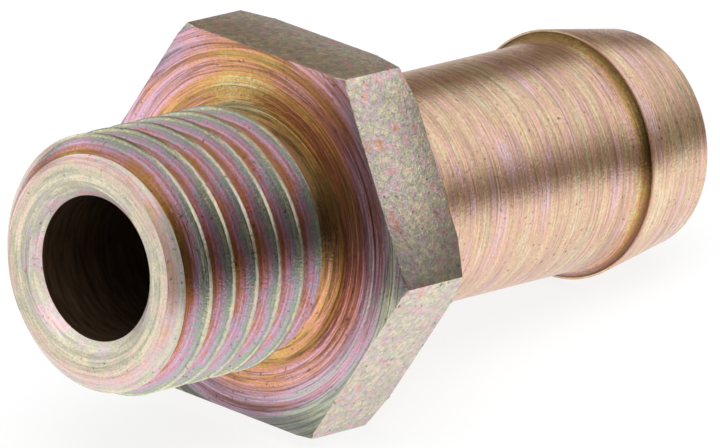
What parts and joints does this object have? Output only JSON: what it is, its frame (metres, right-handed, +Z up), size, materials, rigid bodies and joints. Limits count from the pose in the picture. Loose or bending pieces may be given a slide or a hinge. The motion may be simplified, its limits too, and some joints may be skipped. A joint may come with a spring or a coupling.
{
  "type": "hose nipple",
  "caption": "Turned steel hose nipple with a male M12 threaded stub, a 17 mm spanner hexagon and one barb for a 10 mm hose; bored right through.",
  "frame": {"origin": "on the floor under the middle of the part's length, as it lies at rest", "axes": "+X from the threaded end to the barb, with the turning axis in the XZ plane and its barb end about 9 degrees low; +Z up"},
  "size_m": [0.0374, 0.0196, 0.0174],
  "materials": {
    "passivated_steel": "yellow-passivated zinc on turned steel, iridescent gold, rose and pale green"
  },
  "bodies": {
    "root": {"hose_nipple": "passivated_steel"}
  },
  "joints": []
}
